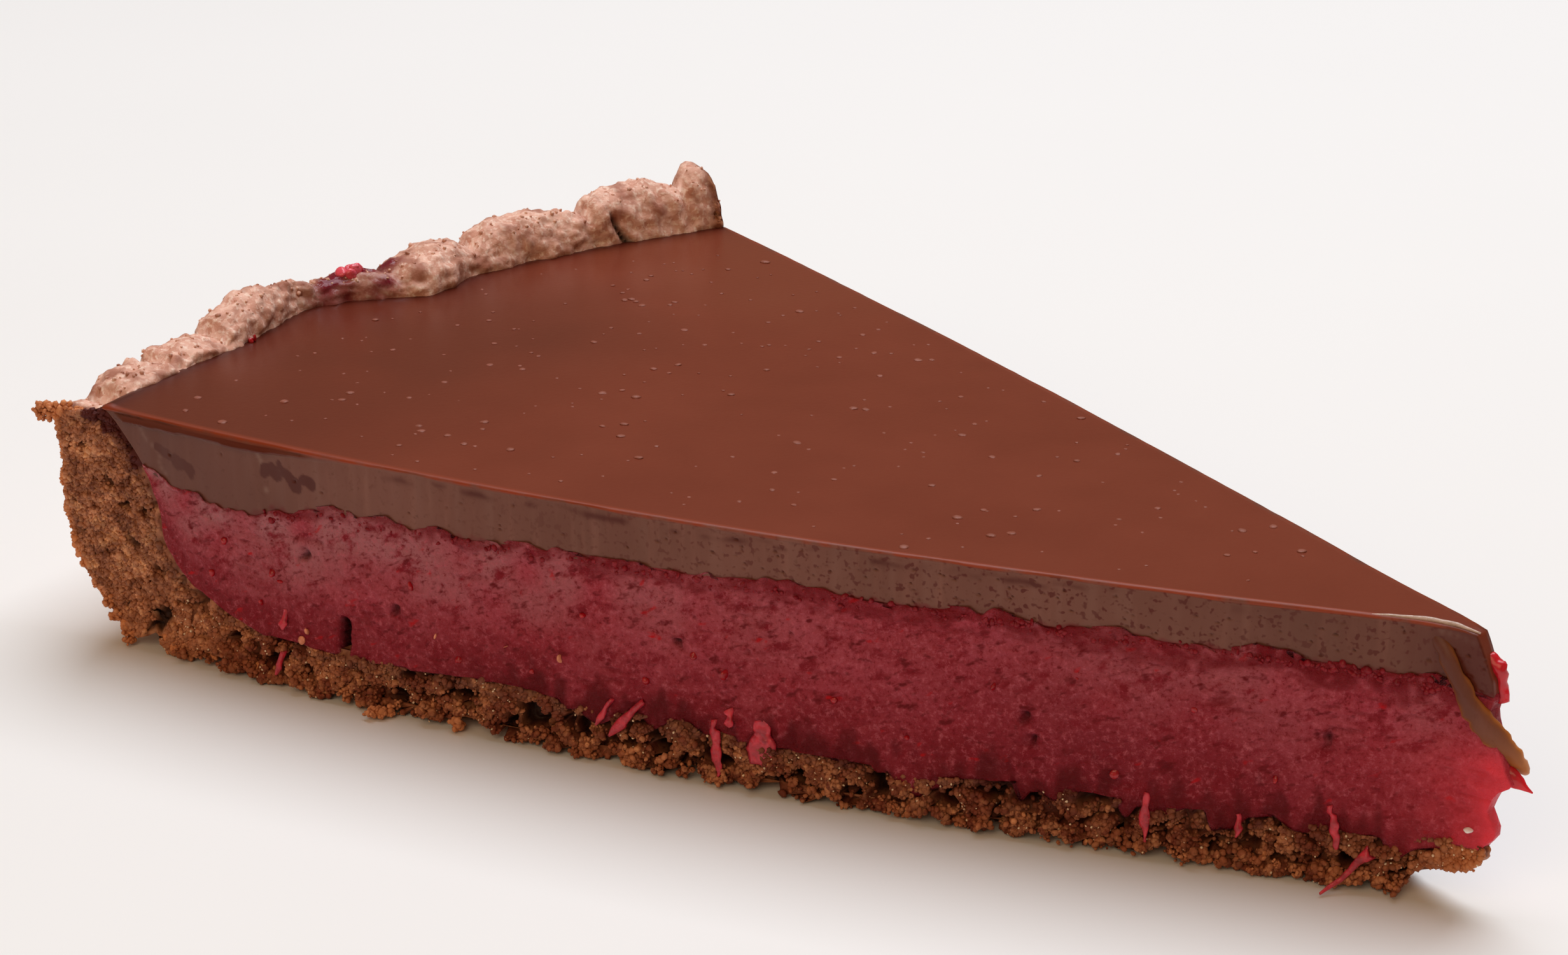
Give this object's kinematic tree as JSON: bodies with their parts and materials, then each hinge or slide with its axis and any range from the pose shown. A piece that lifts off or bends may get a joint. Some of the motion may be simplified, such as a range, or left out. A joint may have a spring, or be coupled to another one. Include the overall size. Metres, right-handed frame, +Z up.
{
  "type": "slice of chocolate raspberry tart",
  "caption": "Wedge cut from a round chocolate tart, with a fluted chocolate pastry shell, a raspberry filling and a level chocolate ganache top; it lies flat on its base.",
  "frame": {"origin": "centre of the slice's box on the surface that it rests on, under the flat base", "axes": "+X from the rim to the tip, +Y to the far cut side, +Z up"},
  "size_m": [0.1242, 0.078, 0.0276],
  "materials": {
    "crust": "dry, coarse and crumbly baked chocolate shortcrust",
    "raspberry_filling": "moist set raspberry filling with a satin cut face",
    "chocolate_ganache": "smooth poured chocolate ganache, glossy on top and satin where cut"
  },
  "bodies": {
    "root": {"crust": "crust", "raspberry_filling": "raspberry_filling", "chocolate_ganache": "chocolate_ganache"}
  },
  "joints": []
}
